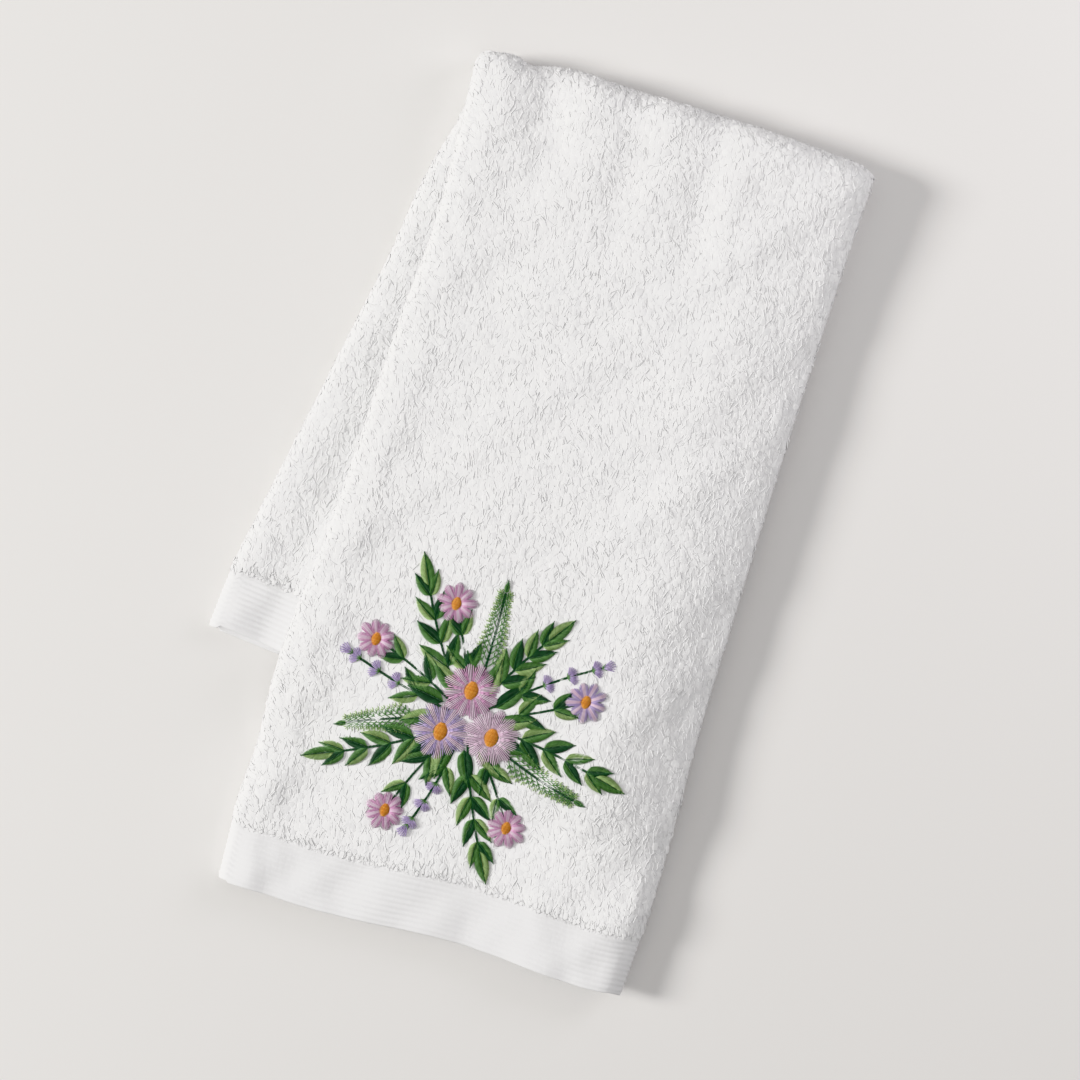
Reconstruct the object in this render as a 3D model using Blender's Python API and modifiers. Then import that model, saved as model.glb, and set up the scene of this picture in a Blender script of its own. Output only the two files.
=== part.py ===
"""Hand towel of terry cloth, folded lengthwise in thirds and once across, lying flat.

The cloth is one sheet. Across its width it runs through three layers: the tuck, which was turned
under from the right; the face, which shows; and the wrap, which was turned under from the left.
That strip is folded over at the top, so the long front flap lies on the shorter back flap, which
swings out to the left. Sizes are in millimetres in the frame of the top view, +Y to the top fold.
"""

import bpy
import numpy as np

# Cloth
CLOTH = 2.45  # thickness with the pile on both sides pressed by the layers
PITCH = 2.8  # rise from one layer to the next
FRAME_X, FRAME_Y = 14.69, -7.34  # moves the middle of the outline onto the origin

# Folds along the length, on a strip that runs from 0 at the left fold to 160 at the right one
STRIP = 160.0
TUCK_EDGE = 33.0  # the tuck's free edge
WRAP_EDGE = 125.0  # the wrap's free edge
LEFT_AT, RIGHT_AT = 4.8, 7.0  # how far in from each side the cloth starts to turn
LEFT_ROUND, RIGHT_ROUND = 3.9, 6.2  # how far the turns reach out from there
RIGHT_SLOPE = 0.3  # how steeply the face runs down into the right turn
BACK_LOFT, BACK_LOFT_REST = 2.2, 0.4  # spring of the back flap's left fold, and its share at the edge
BACK_LOFT_AT, BACK_LOFT_REACH = 6.5, 23.0  # where that is highest, and how far on it ends

# Fold across the strip
FOLD_Y = 163.0  # where the flaps leave the top fold
FOLD_ROUND = 11.0  # how far the fold reaches past that line
FOLD_FULL = 0.85  # power of the sine of its turn, which makes it fuller than an ellipse
FOLD_SWELL, FOLD_REACH = 2.1, 62.0  # spring of the front flap next to the fold

# Slopes where a layer comes down over what ends below it
EDGE_SLOPE, SOFT_SLOPE, HEM_SLOPE, SIDE_SLOPE = 10.5, 34.0, 34.0, 46.0
DROP = 0.5  # share of its height that the face loses beyond the wrap
DROP_FOLD, DROP_HEM = 0.3, 0.12  # the same next to the top fold and at the front hem
DROP_START = 0.75  # share of that drop that is straight, the rest being a cube
ROUND_OFF, ROUND_OFF_REACH = 1.5, 26.0  # how the top layers round down to the right fold
TUCK_LIFT, WRAP_LIFT = 0.7, 0.45  # share of the face's waves that the layers below it take
LIFT_BLEND = 0.4  # how softly those layers stop following a wave that dips below zero

# Front flap's sides: y, left x, right x
FRONT_SIDES = np.array([
    (163, -76.4, 80.2), (150, -75.6, 79.4), (130, -74.2, 79.2), (115, -73.2, 79.0),
    (95, -73.4, 78.8), (75, -74.7, 78.7), (50, -75.8, 78.6), (20, -76.2, 78.7),
    (0, -76.8, 78.9), (-20, -77.8, 79.0), (-40, -79.4, 79.2), (-62, -81.0, 79.8),
    (-85, -81.2, 80.9), (-106, -80.4, 81.7), (-130, -81.2, 81.9), (-160, -79.8, 80.7),
])
# Front flap's hem: distance across the strip, y
FRONT_HEM = np.array([
    (0, -160.2), (20, -160.1), (36, -160.3), (52, -159.4), (66, -158.2), (80, -156.8),
    (94, -156.2), (112, -156.6), (130, -157.6), (146, -157.9), (160, -156.6),
])
# Top fold: distance across the strip, how far its outline sits from its middle height
FOLD_LINE = np.array([
    (0, -2.6), (6, -1.4), (14, -0.6), (20, -2.4), (28, -0.2), (60, 0.3), (112, 0.5),
    (140, -0.5), (153, -1.2), (160, -2.8),
])
# Back flap, down its left side: left x, left y, width, how far its rows turn clockwise in degrees
BACK_SIDE = np.array([
    (-76.4, 163, 156.6, 0.0), (-76.0, 153, 155.4, 0.8), (-77.4, 143, 156.0, 1.8),
    (-80.7, 131, 157.6, 2.6), (-83.6, 117, 159.2, 3.4), (-86.8, 90, 160.0, 4.0),
    (-91.5, 62, 160.0, 4.5), (-96.6, 33, 160.0, 5.0), (-101.5, 5, 160.0, 5.3),
    (-106.2, -23, 160.0, 5.5), (-110.4, -48, 160.0, 5.6), (-111.8, -67, 160.0, 5.7),
])
BACK_OVERHANG = 2.2  # how much further the face reaches than the wrap at the back hem
FRONT_OVERHANG = 1.6  # the same at the front hem, where the face hides the other two
# Face over the wrap beneath it: distance in from the left fold, height
LEFT_RISE = np.array([
    (0, 1.5), (3, 2.4), (6, 3.05), (9, 3.45), (11, 3.55), (15, 3.35), (20, 2.95), (25, 2.65),
    (30, 2.6), (36, 2.7), (42, 2.9), (50, 3.1), (60, 3.2),
])
# Soft ridges and troughs of the front flap: from x, y, to x, y, half width, height
WAVES = np.array([
    (-54.5, 200, -36, 124, 8, -2.0), (-29, 200, -28, 115, 6, 0.45), (-14, 200, -6, 100, 6, -1.2),
    (2, 200, 2, 105, 6, 0.5), (17, 200, 24, 98, 6, -1.3), (32, 200, 30, 95, 6, 0.55),
    (-58, 75, -60, -35, 6, -0.3), (-61, -75, -63, -135, 6, -0.3), (-44, -118, -46, -210, 8, 0.45),
    (-30, -118, -30, -210, 7, -0.55), (17, -112, 18, -210, 6, -0.95), (42, -104, 43, -210, 8, 0.85),
    (57, -112, 57, -210, 5, -0.45), (48, 260, 48, -260, 20, 1.2),
])
CROWN, CROWN_HALF = 0.7, 60.0  # middle of the front flap, and half the width of that rise
REST_Y, REST_REACH = -90.0, 45.0  # where the flap starts to rise toward its hem, and how soon it has
CROWN_REST, CORNER_REST = 0.9, 4.0  # that rise, and how far the stiff right corner stands up over it
CORNER_Y, CORNER_DOWN = -20.0, 120.0  # where the corner starts down the flap, and how soon it is full
CORNER_X, CORNER_ACROSS = 24.0, 58.0  # the same across the flap
FADE = 0.4  # share of a wave's length over which it comes and goes

# Stations of the grid: a place in the units above and the number of parts from there to the next
TUCK_STATIONS = ((TUCK_EDGE, 2), (50, 4), (125, 2), (140, 2), (STRIP - RIGHT_AT, 0))
FACE_STATIONS = (
    (STRIP - RIGHT_AT, 2), (141, 2), (124, 6), (52, 3), (34, 3), (21, 3), (LEFT_AT, 0),
)
WRAP_STATIONS = ((LEFT_AT, 2), (20, 2), (44, 3), (112, 1), (WRAP_EDGE, 0))
ARC_STEPS, FOLD_STEPS = 6, 8  # parts of a lengthwise fold and of the top fold
LINE_STEPS = 80  # points of a line down the back flap
FRONT_STATIONS = ((0.0, 5), (0.15, 5), (0.33, 6), (0.68, 1), (0.715, 7), (0.86, 2), (0.93, 2), (1.0, 0))
BACK_STATIONS = ((0.0, 4), (0.14, 4), (0.4, 4), (0.75, 2), (0.91, 1), (1.0, 0))


def stations(table):
    """Values from a station table, evenly spaced between its places."""
    values = []
    for (here, parts), (there, _) in zip(table[:-1], table[1:]):
        values.extend(np.linspace(here, there, parts, endpoint=False))
    return np.array(values + [table[-1][0]])


def curve(table, at, column=1):
    """Smooth value of a table's column at the given first-column values."""
    x, y = table[:, 0], table[:, column]
    if x[0] > x[-1]:
        x, y = x[::-1], y[::-1]
    slope = np.gradient(y, x)
    at = np.clip(at, x[0], x[-1])
    i = np.clip(np.searchsorted(x, at) - 1, 0, len(x) - 2)
    width = x[i + 1] - x[i]
    t = (at - x[i]) / width
    return (
        (1 + 2 * t) * (1 - t) ** 2 * y[i] + t * (1 - t) ** 2 * width * slope[i]
        + t * t * (3 - 2 * t) * y[i + 1] + t * t * (t - 1) * width * slope[i + 1]
    )


def ease(value):
    """0 below 0, 1 above 1, and a smooth rise between."""
    value = np.clip(value, 0, 1)
    return value * value * (3 - 2 * value)


def front_x(strip, y):
    """x of the front flap at a distance across the strip and a y."""
    left, right = curve(FRONT_SIDES, y), curve(FRONT_SIDES, y, 2)
    return left + (right - left) * strip / STRIP


def back_xy(strip, down):
    """Point of the back flap at a distance across the strip, down being 0 at the fold and 1 at the hem."""
    top, bottom = BACK_SIDE[0, 1], BACK_SIDE[-1, 1]
    rows = np.column_stack([(top - BACK_SIDE[:, 1]) / (top - bottom), BACK_SIDE])
    left_x, left_y, width, turn = (curve(rows, down, column) for column in (1, 2, 3, 4))
    across = width * strip / STRIP
    return left_x + across * np.cos(np.radians(turn)), left_y - across * np.sin(np.radians(turn))


def back_line(strip, y):
    """x at this y of the line that keeps to one distance across the back flap."""
    x_down, y_down = back_xy(strip, np.linspace(0, 1, LINE_STEPS))
    return np.interp(-y, -y_down, x_down)


def near_fold(y):
    """1 at the top fold and 0 beyond the reach of its spring."""
    return 0.5 + 0.5 * np.cos(np.pi * np.clip((FOLD_Y - y) / FOLD_REACH, 0, 1))


def near_hem(y):
    """1 at the front hem and 0 where the flap lies level again."""
    return ease((REST_Y - y) / REST_REACH)


def back_hump(inward):
    """Loft of the back flap's left fold, at a distance in from it."""
    near = 1 - np.clip(inward / BACK_LOFT_AT, 0, 1)
    rise = BACK_LOFT_REST + (1 - BACK_LOFT_REST) * (1 - near**2)
    return BACK_LOFT * rise * (1 - ease((inward - BACK_LOFT_AT) / BACK_LOFT_REACH))


def beside_wrap(x, y):
    """1 over the wrap and less beyond its edge, down to the right fold."""
    edge = front_x(WRAP_EDGE, y)
    past = np.clip((x - edge) / (front_x(STRIP, y) - edge), 0, 1)
    drop = DROP + (DROP_FOLD - DROP) * near_fold(y) + (DROP_HEM - DROP) * near_hem(y)
    return 1 - drop * (DROP_START * past + (1 - DROP_START) * past**3)


def waves(x, y):
    """Rise of the front flap's face over its even layers."""
    corner = ease((CORNER_Y - y) / CORNER_DOWN) * ease((x - CORNER_X) / CORNER_ACROSS)
    rise = FOLD_SWELL * near_fold(y) + CROWN_REST * near_hem(y) + CORNER_REST * corner
    rise = rise + CROWN * np.clip(1 - (x / CROWN_HALF) ** 2, 0, 1)
    for x0, y0, x1, y1, half, height in WAVES:
        length = np.hypot(x1 - x0, y1 - y0)
        along = ((x - x0) * (x1 - x0) + (y - y0) * (y1 - y0)) / length**2
        away = ((x - x0) * (y1 - y0) - (y - y0) * (x1 - x0)) / length
        rise = rise + height * ease(along / FADE) * ease((1 - along) / FADE) * np.exp(-((away / half) ** 2))
    return rise


def layer_heights(x, y):
    """Middle heights at a point of the six layers, from the back flap's face up to the front flap's face."""
    hem_x = back_xy(np.array([0.0, STRIP]), 1.0)
    over_hem = ease((y - np.interp(x, *hem_x)) / HEM_SLOPE + 1)
    face_b = over_hem * ease((back_line(STRIP, y) - x) / SIDE_SLOPE + 1)
    past_tuck = x - back_line(TUCK_EDGE, y)
    tuck_b = face_b * ease(past_tuck / EDGE_SLOPE + 1)
    over_tuck = face_b * ease(past_tuck / SOFT_SLOPE + 1)
    wrap_b = ease((back_line(WRAP_EDGE, y) - x) / EDGE_SLOPE + 1)
    beside = beside_wrap(x, y)
    hump = over_hem * back_hump(x - back_line(0.0, y))
    rise = waves(x, y)
    lift = 0.5 * (rise + np.sqrt(rise**2 + LIFT_BLEND))  # the rise without its dips below zero
    floor = CLOTH / 2 + 0 * x
    base = floor + PITCH * (face_b + over_tuck + over_hem * np.maximum(wrap_b, beside)) + hump
    near_right = 1 - np.clip((front_x(STRIP, y) - x) / ROUND_OFF_REACH, 0, 1)
    top = base + PITCH * beside - ROUND_OFF * near_right**2
    return [
        floor,
        floor + PITCH * face_b,
        floor + PITCH * (face_b + tuck_b) + hump,
        base + WRAP_LIFT * lift,
        top + TUCK_LIFT * lift,
        top + curve(LEFT_RISE, x - front_x(0.0, y)) + rise,
    ]


def columns():
    """Columns from the tuck's free edge to the wrap's: strip, two depths, share of the second, reach sideways.

    Depths 0, 1 and 2 are wrap, tuck and face. A column of a lengthwise fold lies between two of them.
    """
    turn = np.linspace(0, np.pi, ARC_STEPS + 1)[1:-1]
    share, bend = 0.5 - 0.5 * np.cos(turn), np.sin(turn)
    runs = [(at, 1, 1, 0.0, 0.0) for at in stations(TUCK_STATIONS)]
    runs += [(STRIP - RIGHT_AT, 1, 2, part, RIGHT_ROUND * b) for part, b in zip(share, bend)]
    runs += [(at, 2, 2, 0.0, 0.0) for at in stations(FACE_STATIONS)]
    runs += [(LEFT_AT, 2, 0, part, -LEFT_ROUND * b) for part, b in zip(share, bend)]
    return runs + [(at, 0, 0, 0.0, 0.0) for at in stations(WRAP_STATIONS)]


def folded_sheet():
    """Middle points of the folded cloth: columns across it, each from the front hem to the back hem."""
    turn = np.linspace(0, np.pi, FOLD_STEPS + 1)[1:-1]
    sheet = []
    for strip, depth, other, share, reach in columns():
        # Front layers 3, 4, 5 are wrap, tuck and face. Back layers 2, 1, 0 are the same, upside down.
        along = stations(FRONT_STATIONS)
        hem_y = curve(FRONT_HEM, strip) + FRONT_OVERHANG * (1 - (depth + other) / 4)
        y = FOLD_Y + along * (hem_y - FOLD_Y)
        x = front_x(strip, y)
        heights = layer_heights(x, y)
        rise = heights[3 + depth] * (1 - share) + heights[3 + other] * share
        rise = rise - share * RIGHT_SLOPE * max(reach, 0.0)
        front = np.column_stack([x + reach, y, rise])
        along = stations(BACK_STATIONS)
        x, y = back_xy(strip, along)
        heights = layer_heights(x, y)
        rise = heights[2 - depth] * (1 - share) + heights[2 - other] * share
        longer = BACK_OVERHANG * (depth + other) / 4 * (1 - strip / STRIP)
        back = np.column_stack([x + reach, y - longer * along, rise])
        at_fold = layer_heights(front_x(strip, np.array([FOLD_Y])), np.array([FOLD_Y]))
        round_z = (front[0, 2] - back[0, 2]) / (at_fold[5] - at_fold[0])
        round_y = round_z * (FOLD_ROUND + curve(FOLD_LINE, strip) - CLOTH / 2)
        fold = front[0] + (0.5 - 0.5 * np.cos(turn))[:, None] * (back[0] - front[0])
        fold[:, 1] += round_y * np.sin(turn) ** FOLD_FULL
        sheet.append(np.vstack([front[::-1], fold, back]))
    return np.array(sheet)


def clear_scene():
    """Empties the start-up scene."""
    for item in list(bpy.data.objects):
        bpy.data.objects.remove(item, do_unlink=True)


def terry_white():
    """The towel's plain white material."""
    finish = bpy.data.materials.new("terry_white")
    finish.use_nodes = True
    shader = finish.node_tree.nodes["Principled BSDF"]
    shader.inputs["Base Color"].default_value = (0.9, 0.9, 0.89, 1)
    shader.inputs["Roughness"].default_value = 0.95
    return finish


def towel_cloth():
    """The cloth: a grid laid along the folds, thickened evenly on both sides."""
    sheet = folded_sheet() + (FRAME_X, FRAME_Y, 0)
    across, along = sheet.shape[0] - 1, sheet.shape[1] - 1
    bpy.ops.mesh.primitive_grid_add(x_subdivisions=across, y_subdivisions=along, location=(0, 0, 0))
    cloth = bpy.context.object
    cloth.name = "towel_cloth"
    cloth.data.vertices.foreach_set("co", (sheet.transpose(1, 0, 2) / 1000).ravel())
    cloth.data.materials.append(terry_white())
    cloth.data.shade_smooth()
    thickness = cloth.modifiers.new("cloth thickness", "SOLIDIFY")
    thickness.thickness = CLOTH / 1000
    thickness.offset = 0.0
    thickness.use_even_offset = True
    return cloth


clear_scene()
towel = bpy.data.collections.new("hand_towel")
bpy.context.scene.collection.children.link(towel)
cloth = towel_cloth()
for holder in list(cloth.users_collection):
    holder.objects.unlink(cloth)
towel.objects.link(cloth)
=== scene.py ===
"""A folded terry hand towel: base cloth, cotton loops, woven hem bands and a stitched posy.

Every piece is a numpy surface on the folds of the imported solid. Sizes are in millimetres in the
top view's frame, +Y to the fold across the top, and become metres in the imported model's frame
where a mesh is made. A place on the opened-out cloth is u across it and v along it.
"""

import logging
from dataclasses import dataclass, field
from enum import Enum, IntEnum
from math import cos, pi, radians, sin

import bpy
import numpy as np
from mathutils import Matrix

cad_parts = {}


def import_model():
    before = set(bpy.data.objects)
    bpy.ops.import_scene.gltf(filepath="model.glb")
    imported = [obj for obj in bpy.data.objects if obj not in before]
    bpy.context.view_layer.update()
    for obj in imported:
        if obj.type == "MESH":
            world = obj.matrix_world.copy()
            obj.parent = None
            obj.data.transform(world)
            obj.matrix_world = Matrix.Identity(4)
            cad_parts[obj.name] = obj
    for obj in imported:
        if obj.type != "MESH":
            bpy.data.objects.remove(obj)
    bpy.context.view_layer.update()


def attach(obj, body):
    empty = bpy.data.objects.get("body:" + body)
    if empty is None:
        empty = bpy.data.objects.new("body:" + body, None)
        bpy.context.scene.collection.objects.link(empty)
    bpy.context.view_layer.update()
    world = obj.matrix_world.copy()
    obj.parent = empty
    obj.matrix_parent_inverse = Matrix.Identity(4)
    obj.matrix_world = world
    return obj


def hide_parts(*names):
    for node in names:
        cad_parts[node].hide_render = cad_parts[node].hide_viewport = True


Array = np.ndarray
LOG = logging.getLogger("hand_towel")
NODE = "towel_cloth"
MM = 0.001
FRAME_X, FRAME_Y = 14.69, -7.34  # from the middle of the photo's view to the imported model's origin
FLOOR_GAP = 0.02  # least height of a thread over the floor
CELL_FILL, CELL_EDGE = 0.86, 0.07  # share of its cell of the bake map that a thread takes, and starts at


class Depth(IntEnum):
    """The three layers that the strip is folded into, from its underside to the side that shows."""

    WRAP = 0
    TUCK = 1
    FACE = 2


@dataclass(frozen=True)
class Folds:
    """The folded cloth's middle surface, with the same sizes as the solid.

    The strip runs from 0 at its left fold to `strip` at its right one. The front flap lies on
    the back flap, which swings out to the left.
    """

    cloth: float = 2.45
    pitch: float = 2.8
    strip: float = 160.0
    tuck_edge: float = 33.0
    wrap_edge: float = 125.0
    left_at: float = 4.8
    right_at: float = 7.0
    left_round: float = 3.9
    right_round: float = 6.2
    right_slope: float = 0.3
    back_loft: float = 2.2
    back_loft_rest: float = 0.4
    back_loft_at: float = 6.5
    back_loft_reach: float = 23.0
    fold_y: float = 163.0
    fold_round: float = 11.0
    fold_full: float = 0.85
    fold_swell: float = 2.1
    fold_reach: float = 62.0
    edge_slope: float = 10.5
    soft_slope: float = 34.0
    drop_start: float = 0.75
    drop: float = 0.5
    drop_fold: float = 0.3
    drop_hem: float = 0.12
    round_off: float = 1.5
    round_off_reach: float = 26.0
    hem_slope: float = 34.0
    side_slope: float = 46.0
    tuck_lift: float = 0.7
    wrap_lift: float = 0.45
    crown: float = 0.7
    crown_half: float = 60.0
    rest_y: float = -90.0
    rest_reach: float = 45.0
    crown_rest: float = 0.9
    corner_rest: float = 4.0
    corner_y: float = -20.0
    corner_down: float = 120.0
    corner_x: float = 24.0
    corner_across: float = 58.0
    fade: float = 0.4
    lift_blend: float = 0.4
    line_steps: int = 80
    back_overhang: float = 2.2
    front_overhang: float = 1.6
    # y, left x, right x
    front_sides: tuple = (
        (163, -76.4, 80.2), (150, -75.6, 79.4), (130, -74.2, 79.2), (115, -73.2, 79.0),
        (95, -73.4, 78.8), (75, -74.7, 78.7), (50, -75.8, 78.6), (20, -76.2, 78.7),
        (0, -76.8, 78.9), (-20, -77.8, 79.0), (-40, -79.4, 79.2), (-62, -81.0, 79.8),
        (-85, -81.2, 80.9), (-106, -80.4, 81.7), (-130, -81.2, 81.9), (-160, -79.8, 80.7),
    )
    # distance across the strip, y
    front_hem: tuple = (
        (0, -160.2), (20, -160.1), (36, -160.3), (52, -159.4), (66, -158.2), (80, -156.8),
        (94, -156.2), (112, -156.6), (130, -157.6), (146, -157.9), (160, -156.6),
    )
    # distance across the strip, how far the top fold's outline sits from its middle height
    fold_line: tuple = (
        (0, -2.6), (6, -1.4), (14, -0.6), (20, -2.4), (28, -0.2), (60, 0.3), (112, 0.5),
        (140, -0.5), (153, -1.2), (160, -2.8),
    )
    # left x, left y, width, turn of the back flap's rows in degrees
    back_side: tuple = (
        (-76.4, 163, 156.6, 0.0), (-76.0, 153, 155.4, 0.8), (-77.4, 143, 156.0, 1.8),
        (-80.7, 131, 157.6, 2.6), (-83.6, 117, 159.2, 3.4), (-86.8, 90, 160.0, 4.0),
        (-91.5, 62, 160.0, 4.5), (-96.6, 33, 160.0, 5.0), (-101.5, 5, 160.0, 5.3),
        (-106.2, -23, 160.0, 5.5), (-110.4, -48, 160.0, 5.6), (-111.8, -67, 160.0, 5.7),
    )
    # distance in from the front flap's left fold, height of the face over the wrap
    left_rise: tuple = (
        (0, 1.5), (3, 2.4), (6, 3.05), (9, 3.45), (11, 3.55), (15, 3.35), (20, 2.95), (25, 2.65),
        (30, 2.6), (36, 2.7), (42, 2.9), (50, 3.1), (60, 3.2),
    )
    # soft ridges and troughs: from x, y, to x, y, half width, height
    ridges: tuple = (
        (-54.5, 200, -36, 124, 8, -2.0), (-29, 200, -28, 115, 6, 0.45),
        (-14, 200, -6, 100, 6, -1.2), (2, 200, 2, 105, 6, 0.5), (17, 200, 24, 98, 6, -1.3),
        (32, 200, 30, 95, 6, 0.55), (-58, 75, -60, -35, 6, -0.3),
        (-61, -75, -63, -135, 6, -0.3), (-44, -118, -46, -210, 8, 0.45),
        (-30, -118, -30, -210, 7, -0.55), (17, -112, 18, -210, 6, -0.95),
        (42, -104, 43, -210, 8, 0.85), (57, -112, 57, -210, 5, -0.45),
        (48, 260, 48, -260, 20, 1.2),
    )

    def front_x(self, strip: Array, y: Array) -> Array:
        """x on the front flap: a straight run between its two sides at that y."""
        sides = np.array(self.front_sides)
        left, right = curve(sides, y), curve(sides, y, 2)
        return left + (right - left) * strip / self.strip

    def back_xy(self, strip: Array, down: Array) -> tuple[Array, Array]:
        """A point of the back flap: out along a row that is turned a little clockwise.

        Args:
            strip: Distance across the strip.
            down: 0 at the fold, 1 at the hem.

        Returns:
            x and y.
        """
        side = np.array(self.back_side)
        top, bottom = side[0, 1], side[-1, 1]
        rows = np.column_stack([(top - side[:, 1]) / (top - bottom), side])
        left_x, left_y, width, turn = (curve(rows, down, column) for column in (1, 2, 3, 4))
        across, turn = width * strip / self.strip, np.radians(turn)
        return left_x + across * np.cos(turn), left_y - across * np.sin(turn)

    def back_line(self, strip: float, y: Array) -> Array:
        """x at this y of the line that keeps to one distance across the back flap."""
        x_down, y_down = self.back_xy(strip, np.linspace(0, 1, self.line_steps))
        return np.interp(-y, -y_down, x_down)

    def back_hump(self, inward: Array) -> Array:
        """Loft of the back flap's left fold: half a parabola up to its crest, then an eased fall."""
        near = 1 - np.clip(inward / self.back_loft_at, 0, 1)
        rise = self.back_loft_rest + (1 - self.back_loft_rest) * (1 - near**2)
        return self.back_loft * rise * (1 - ease((inward - self.back_loft_at) / self.back_loft_reach))

    def beside_wrap(self, x: Array, y: Array) -> Array:
        """1 over the wrap, then a straight line plus a cube down toward the right fold."""
        edge = self.front_x(self.wrap_edge, y)
        past = np.clip((x - edge) / (self.front_x(self.strip, y) - edge), 0, 1)
        drop = self.drop + (self.drop_fold - self.drop) * self.near_fold(y)
        drop = drop + (self.drop_hem - self.drop) * self.near_hem(y)
        return 1 - drop * (self.drop_start * past + (1 - self.drop_start) * past**3)

    def near_fold(self, y: Array) -> Array:
        """1 at the top fold and half a cosine wave down to 0 at its reach."""
        return 0.5 + 0.5 * np.cos(pi * np.clip((self.fold_y - y) / self.fold_reach, 0, 1))

    def near_hem(self, y: Array) -> Array:
        """1 at the front hem, eased down to 0 where the flap lies level again."""
        return ease((self.rest_y - y) / self.rest_reach)

    def waves(self, x: Array, y: Array) -> Array:
        """Rise of the front flap's face: a spring by the top fold, a crown, and bell-shaped ridges."""
        rise = self.fold_swell * self.near_fold(y) + self.crown_rest * self.near_hem(y)
        corner = ease((self.corner_y - y) / self.corner_down)
        rise = rise + self.corner_rest * corner * ease((x - self.corner_x) / self.corner_across)
        rise = rise + self.crown * np.clip(1 - (x / self.crown_half) ** 2, 0, 1)
        for x0, y0, x1, y1, half, height in self.ridges:
            length = np.hypot(x1 - x0, y1 - y0)
            along = ((x - x0) * (x1 - x0) + (y - y0) * (y1 - y0)) / length**2
            away = ((x - x0) * (y1 - y0) - (y - y0) * (x1 - x0)) / length
            fade = ease(along / self.fade) * ease((1 - along) / self.fade)
            rise = rise + height * fade * bell(away, half)
        return rise

    def layer_heights(self, x: Array, y: Array) -> Array:
        """Middle heights of the six layers: each lies a pitch over what is under it there.

        Args:
            x: Places in the top view.
            y: The same.

        Returns:
            Six arrays of heights, from the back flap's face up to the front flap's face.
        """
        hem_x, hem_y = self.back_xy(np.array([0.0, self.strip]), np.array([1.0, 1.0]))
        over_hem = ease((y - np.interp(x, hem_x, hem_y)) / self.hem_slope + 1)
        to_right = self.back_line(self.strip, y) - x
        face_b = over_hem * ease(to_right / self.side_slope + 1)
        past_tuck = x - self.back_line(self.tuck_edge, y)
        tuck_b = face_b * ease(past_tuck / self.edge_slope + 1)
        over_tuck = face_b * ease(past_tuck / self.soft_slope + 1)
        wrap_b = ease((self.back_line(self.wrap_edge, y) - x) / self.edge_slope + 1)
        beside = self.beside_wrap(x, y)
        hump = over_hem * self.back_hump(x - self.back_line(0.0, y))
        rise = self.waves(x, y)
        lift = 0.5 * (rise + np.sqrt(rise**2 + self.lift_blend))
        floor = self.cloth / 2 + 0 * x
        base = floor + self.pitch * (face_b + over_tuck + over_hem * np.maximum(wrap_b, beside)) + hump
        near = 1 - np.clip((self.front_x(self.strip, y) - x) / self.round_off_reach, 0, 1)
        top = base + self.pitch * beside - self.round_off * near**2
        return np.stack([
            floor,
            floor + self.pitch * face_b,
            floor + self.pitch * (face_b + tuck_b) + hump,
            base + self.wrap_lift * lift,
            top + self.tuck_lift * lift,
            top + curve(np.array(self.left_rise), x - self.front_x(0.0, y)) + rise,
        ])


def ease(value: Array) -> Array:
    """0 below 0, 1 above 1, and three squares less two cubes between."""
    value = np.clip(value, 0, 1)
    return value * value * (3 - 2 * value)


def bell(away: Array, half: float) -> Array:
    """1 where away is 0, and a bell curve down to 1/e at the half width."""
    return np.exp(-((away / half) ** 2))


def curve(table: Array, at: Array, column: int = 1) -> Array:
    """Smooth value of a table's column: cubic pieces that share their slopes at its rows.

    Args:
        table: Rows in the order of their first column.
        at: First-column values to read it at.
        column: The column to read.

    Returns:
        One value for each place.
    """
    x, y = table[:, 0], table[:, column]
    if x[0] > x[-1]:
        x, y = x[::-1], y[::-1]
    slope = np.gradient(y, x)
    at = np.clip(at, x[0], x[-1])
    i = np.clip(np.searchsorted(x, at) - 1, 0, len(x) - 2)
    width = x[i + 1] - x[i]
    t = (at - x[i]) / width
    return (
        (1 + 2 * t) * (1 - t) ** 2 * y[i] + t * (1 - t) ** 2 * width * slope[i]
        + t * t * (3 - 2 * t) * y[i + 1] + t * t * (t - 1) * width * slope[i + 1]
    )


def stations(*table: tuple[float, int]) -> Array:
    """Evenly spaced values between places, each given with its number of parts to the next."""
    runs = [
        np.linspace(here, there, parts, endpoint=False)
        for (here, parts), (there, _) in zip(table[:-1], table[1:])
    ]
    return np.concatenate(runs + [[table[-1][0]]])


def unit(vectors: Array) -> Array:
    """The same directions with length 1."""
    return vectors / np.maximum(np.linalg.norm(vectors, axis=-1, keepdims=True), 1e-9)


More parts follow.
